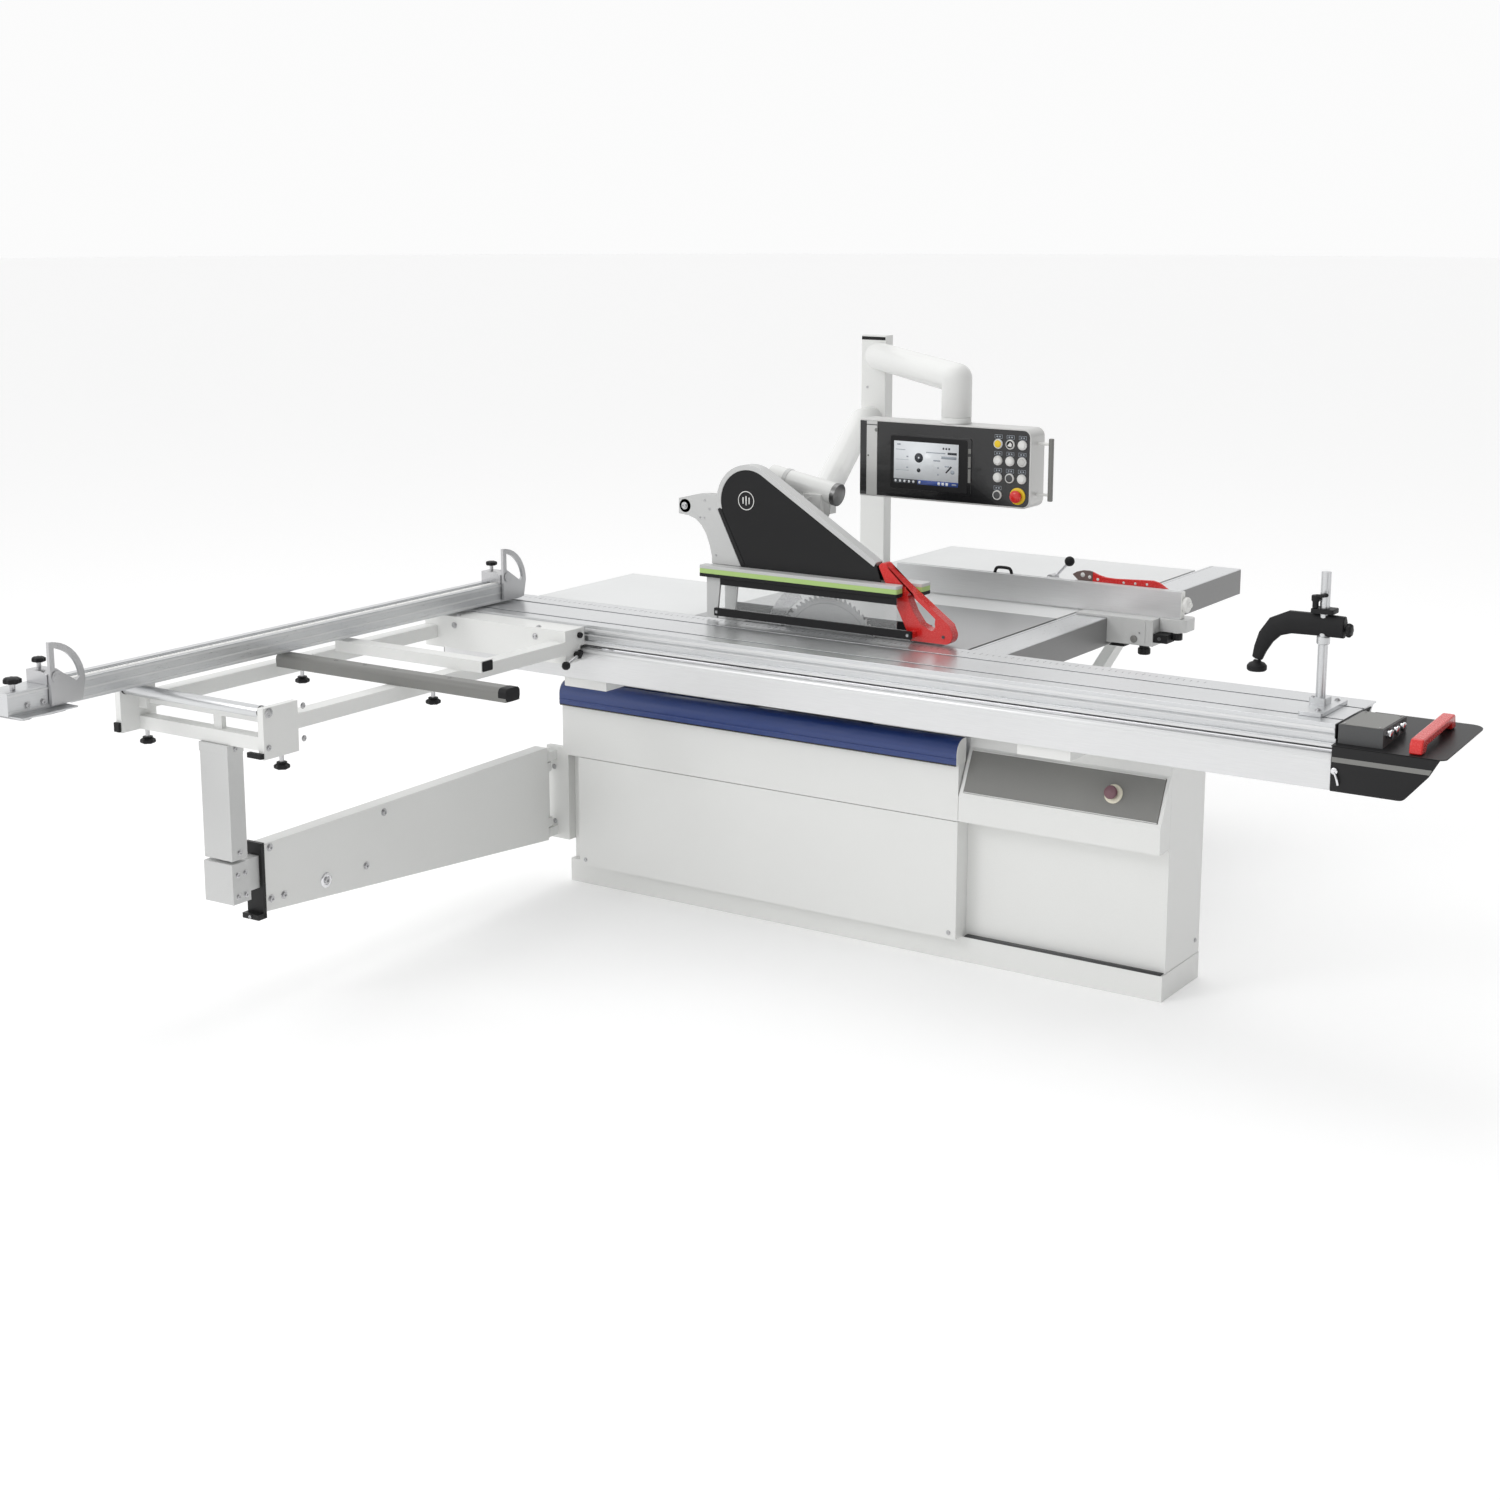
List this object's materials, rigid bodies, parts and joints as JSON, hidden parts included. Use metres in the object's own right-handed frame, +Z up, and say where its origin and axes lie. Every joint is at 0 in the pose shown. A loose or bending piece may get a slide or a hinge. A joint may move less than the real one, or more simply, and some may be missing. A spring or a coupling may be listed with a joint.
{
  "type": "sliding-table panel saw",
  "caption": "Sliding-table panel saw with a tilting blade, roller-supported outrigger table, crosscut and rip fences, overhead guard and eye-level control panel.",
  "frame": {"origin": "centre of the base's rectangular footprint, on the floor", "axes": "+X along the sliding carriage towards its tray, +Y away from the outrigger towards the side table, +Z up"},
  "size_m": [3.195, 3.87, 1.692],
  "materials": {
    "white_paint": "satin",
    "blue_paint": "gloss",
    "grey_paint": "satin",
    "light_grey_paint": "satin",
    "black_paint": "satin",
    "cast_iron": "ground",
    "aluminium": "anodised",
    "steel": "brushed",
    "chrome": "polished",
    "black_plastic": "matte",
    "red_plastic": "gloss",
    "white_plastic": "satin",
    "clear_panel": "clear",
    "rubber": "matte",
    "motor_paint": "satin"
  },
  "bodies": {
    "base": {"base_frame": "white_paint", "lower_front_cover": "white_paint", "control_housing": "white_paint", "control_plate": "grey_paint", "arm_hinge_bracket": "white_paint", "slide_beam": "aluminium", "main_table": "cast_iron", "outfeed_table": "light_grey_paint", "side_table": "light_grey_paint", "table_supports": "white_paint", "rip_rail": "aluminium", "column": "white_paint", "guard_boom": "light_grey_paint", "panel_boom": "light_grey_paint"},
    "front_cover": {"upper_front_cover": "white_paint", "blue_cap": "blue_paint"},
    "start_button": {"main_button": "white_plastic"},
    "carriage": {"carriage_profile": "aluminium", "end_tray": "black_paint", "push_handle": "red_plastic", "button_box": "black_plastic"},
    "tray_buttons": {"box_buttons": "chrome"},
    "hold_down_post": {"clamp_post": "aluminium"},
    "hold_down_arm": {"clamp_arm": "black_plastic"},
    "hold_down_pad": {"clamp_pad": "rubber"},
    "outrigger": {"outrigger_frame": "light_grey_paint", "mitre_bar": "aluminium", "support_post": "white_paint", "frame_knobs": "black_plastic"},
    "roller": {"support_roller": "steel"},
    "outrigger_lever": {"clamp_lever": "black_plastic"},
    "fence": {"crosscut_fence": "aluminium"},
    "fence_end": {"fence_extension": "aluminium", "stop_base_outer": "black_plastic"},
    "outer_flap": {"stop_flap_outer": "aluminium"},
    "inner_stop": {"stop_base_inner": "black_plastic"},
    "inner_flap": {"stop_flap_inner": "aluminium"},
    "arm": {"swing_arm": "white_paint"},
    "arm_tube": {"arm_extension": "grey_paint"},
    "rip_carriage": {"rip_fence_carriage": "light_grey_paint"},
    "rip_bar": {"rip_fence_bar": "aluminium"},
    "rip_lever": {"rip_fence_lever": "black_plastic"},
    "stick": {"push_stick": "red_plastic"},
    "tilt": {"tilt_frame": "grey_paint"},
    "lift": {"lift_slide": "grey_paint", "riving_knife": "steel", "motor": "motor_paint", "drive_belt": "rubber"},
    "arbor": {"saw_arbor": "steel", "main_blade": "steel"},
    "scoring": {"scoring_blade": "steel"},
    "guard": {"guard_hood": "black_plastic", "guard_bracket": "light_grey_paint", "guard_bars": "black_plastic", "guard_window": "clear_panel", "guard_nose": "red_plastic"},
    "panel": {"panel_housing": "aluminium", "panel_fascia": "black_plastic"},
    "panel_keys": {"panel_buttons": "white_plastic"},
    "emergency_stop": {"estop_button": "red_plastic"}
  },
  "joints": [
    {"name": "carriage_slide", "type": "slide", "parent": "base", "child": "carriage", "axis": [1, 0, 0], "range_m": [-1.3, 1.3]},
    {"name": "arm_swing", "type": "hinge", "parent": "base", "child": "arm", "pos_m": [-1.09, -0.404, 0.29], "axis": [0, 0, 1], "range_deg": [-43.5, 43.5]},
    {"name": "arm_extension", "type": "slide", "parent": "arm", "child": "arm_tube", "axis": [0.0281, -0.9996, 0], "range_m": [0, 0.5]},
    {"name": "outrigger_slide", "type": "slide", "parent": "carriage", "child": "outrigger", "axis": [1, 0, 0], "range_m": [0, 1]},
    {"name": "roller_spin", "type": "hinge", "parent": "outrigger", "child": "roller", "pos_m": [-1.08, -1.892, 0.882], "axis": [1, 0, 0], "continuous": true},
    {"name": "outrigger_lever_turn", "type": "hinge", "parent": "outrigger", "child": "outrigger_lever", "pos_m": [-0.79, -0.61, 0.814], "axis": [1, 0, 0], "range_deg": [0, 60]},
    {"name": "fence_pivot", "type": "hinge", "parent": "outrigger", "child": "fence", "pos_m": [-1.278, -0.47, 0.905], "axis": [0, 0, 1], "range_deg": [0, 45]},
    {"name": "fence_extension_slide", "type": "slide", "parent": "fence", "child": "fence_end", "axis": [0, -1, 0], "range_m": [0, 0.6]},
    {"name": "outer_flap_turn", "type": "hinge", "parent": "fence_end", "child": "outer_flap", "pos_m": [-1.232, -2.212, 0.985], "axis": [1, 0, 0], "range_deg": [0, 90]},
    {"name": "inner_stop_slide", "type": "slide", "parent": "fence", "child": "inner_stop", "axis": [0, -1, 0], "range_m": [0, 0.9]},
    {"name": "inner_flap_turn", "type": "hinge", "parent": "inner_stop", "child": "inner_flap", "pos_m": [-1.232, -0.413, 0.985], "axis": [1, 0, 0], "range_deg": [0, 90]},
    {"name": "hold_down_slide", "type": "slide", "parent": "carriage", "child": "hold_down_post", "axis": [1, 0, 0], "range_m": [-1, 0.03]},
    {"name": "hold_down_height", "type": "slide", "parent": "hold_down_post", "child": "hold_down_arm", "axis": [0, 0, 1], "range_m": [-0.068, 0.05]},
    {"name": "hold_down_pad_turn", "type": "hinge", "parent": "hold_down_arm", "child": "hold_down_pad", "pos_m": [1.279, -0.408, 0.985], "axis": [0, 0, 1], "continuous": true},
    {"name": "tray_button_press", "type": "slide", "parent": "carriage", "child": "tray_buttons", "axis": [-1, 0, 0], "range_m": [0, 0.003], "stiffness_N_per_m": 500, "springref_m": -0.002},
    {"name": "cover_hinge", "type": "hinge", "parent": "base", "child": "front_cover", "pos_m": [-0.309, -0.4, 0.43], "axis": [-1, 0, 0], "range_deg": [-90, 0]},
    {"name": "start_button_press", "type": "slide", "parent": "base", "child": "start_button", "axis": [0, 0.9063, -0.4226], "range_m": [0, 0.004], "stiffness_N_per_m": 500, "springref_m": -0.002},
    {"name": "rip_fence_slide", "type": "slide", "parent": "base", "child": "rip_carriage", "axis": [0, 1, 0], "range_m": [-0.58, 0.85]},
    {"name": "rip_bar_slide", "type": "slide", "parent": "rip_carriage", "child": "rip_bar", "axis": [1, 0, 0], "range_m": [-0.3, 0.1]},
    {"name": "rip_lever_turn", "type": "hinge", "parent": "rip_bar", "child": "rip_lever", "pos_m": [0.226, 0.54, 0.985], "axis": [0, 1, 0], "range_deg": [-40, 40]},
    {"name": "push_stick_lift", "type": "slide", "parent": "rip_bar", "child": "stick", "axis": [0, 0, 1], "range_m": [0, 0.15]},
    {"name": "blade_tilt", "type": "hinge", "parent": "base", "child": "tilt", "pos_m": [-0.129, -0.244, 0.9], "axis": [-1, 0, 0], "range_deg": [0, 45]},
    {"name": "blade_lift", "type": "slide", "parent": "tilt", "child": "lift", "axis": [0, 0, 1], "range_m": [-0.12, 0]},
    {"name": "blade_spin", "type": "hinge", "parent": "lift", "child": "arbor", "pos_m": [-0.129, -0.244, 0.835], "axis": [0, 1, 0], "continuous": true},
    {"name": "scoring_spin", "type": "hinge", "parent": "tilt", "child": "scoring", "pos_m": [0.152, -0.244, 0.843], "axis": [0, 1, 0], "continuous": true},
    {"name": "guard_lift", "type": "hinge", "parent": "base", "child": "guard", "pos_m": [-0.643, -0.23, 1.24], "axis": [0, -1, 0], "range_deg": [0, 25]},
    {"name": "panel_swivel", "type": "hinge", "parent": "base", "child": "panel", "pos_m": [0.003, 0.286, 1.484], "axis": [0, 0, 1], "range_deg": [-30, 30]},
    {"name": "panel_key_press", "type": "slide", "parent": "panel", "child": "panel_keys", "axis": [0, 1, 0], "range_m": [0, 0.003], "stiffness_N_per_m": 500, "springref_m": -0.002},
    {"name": "emergency_stop_press", "type": "slide", "parent": "panel", "child": "emergency_stop", "axis": [0, 1, 0], "range_m": [0, 0.004], "stiffness_N_per_m": 500, "springref_m": -0.002}
  ],
  "couplings": [
    {"joint": "arm_swing", "follows": "carriage_slide", "rad_per_m": 0.572}
  ]
}
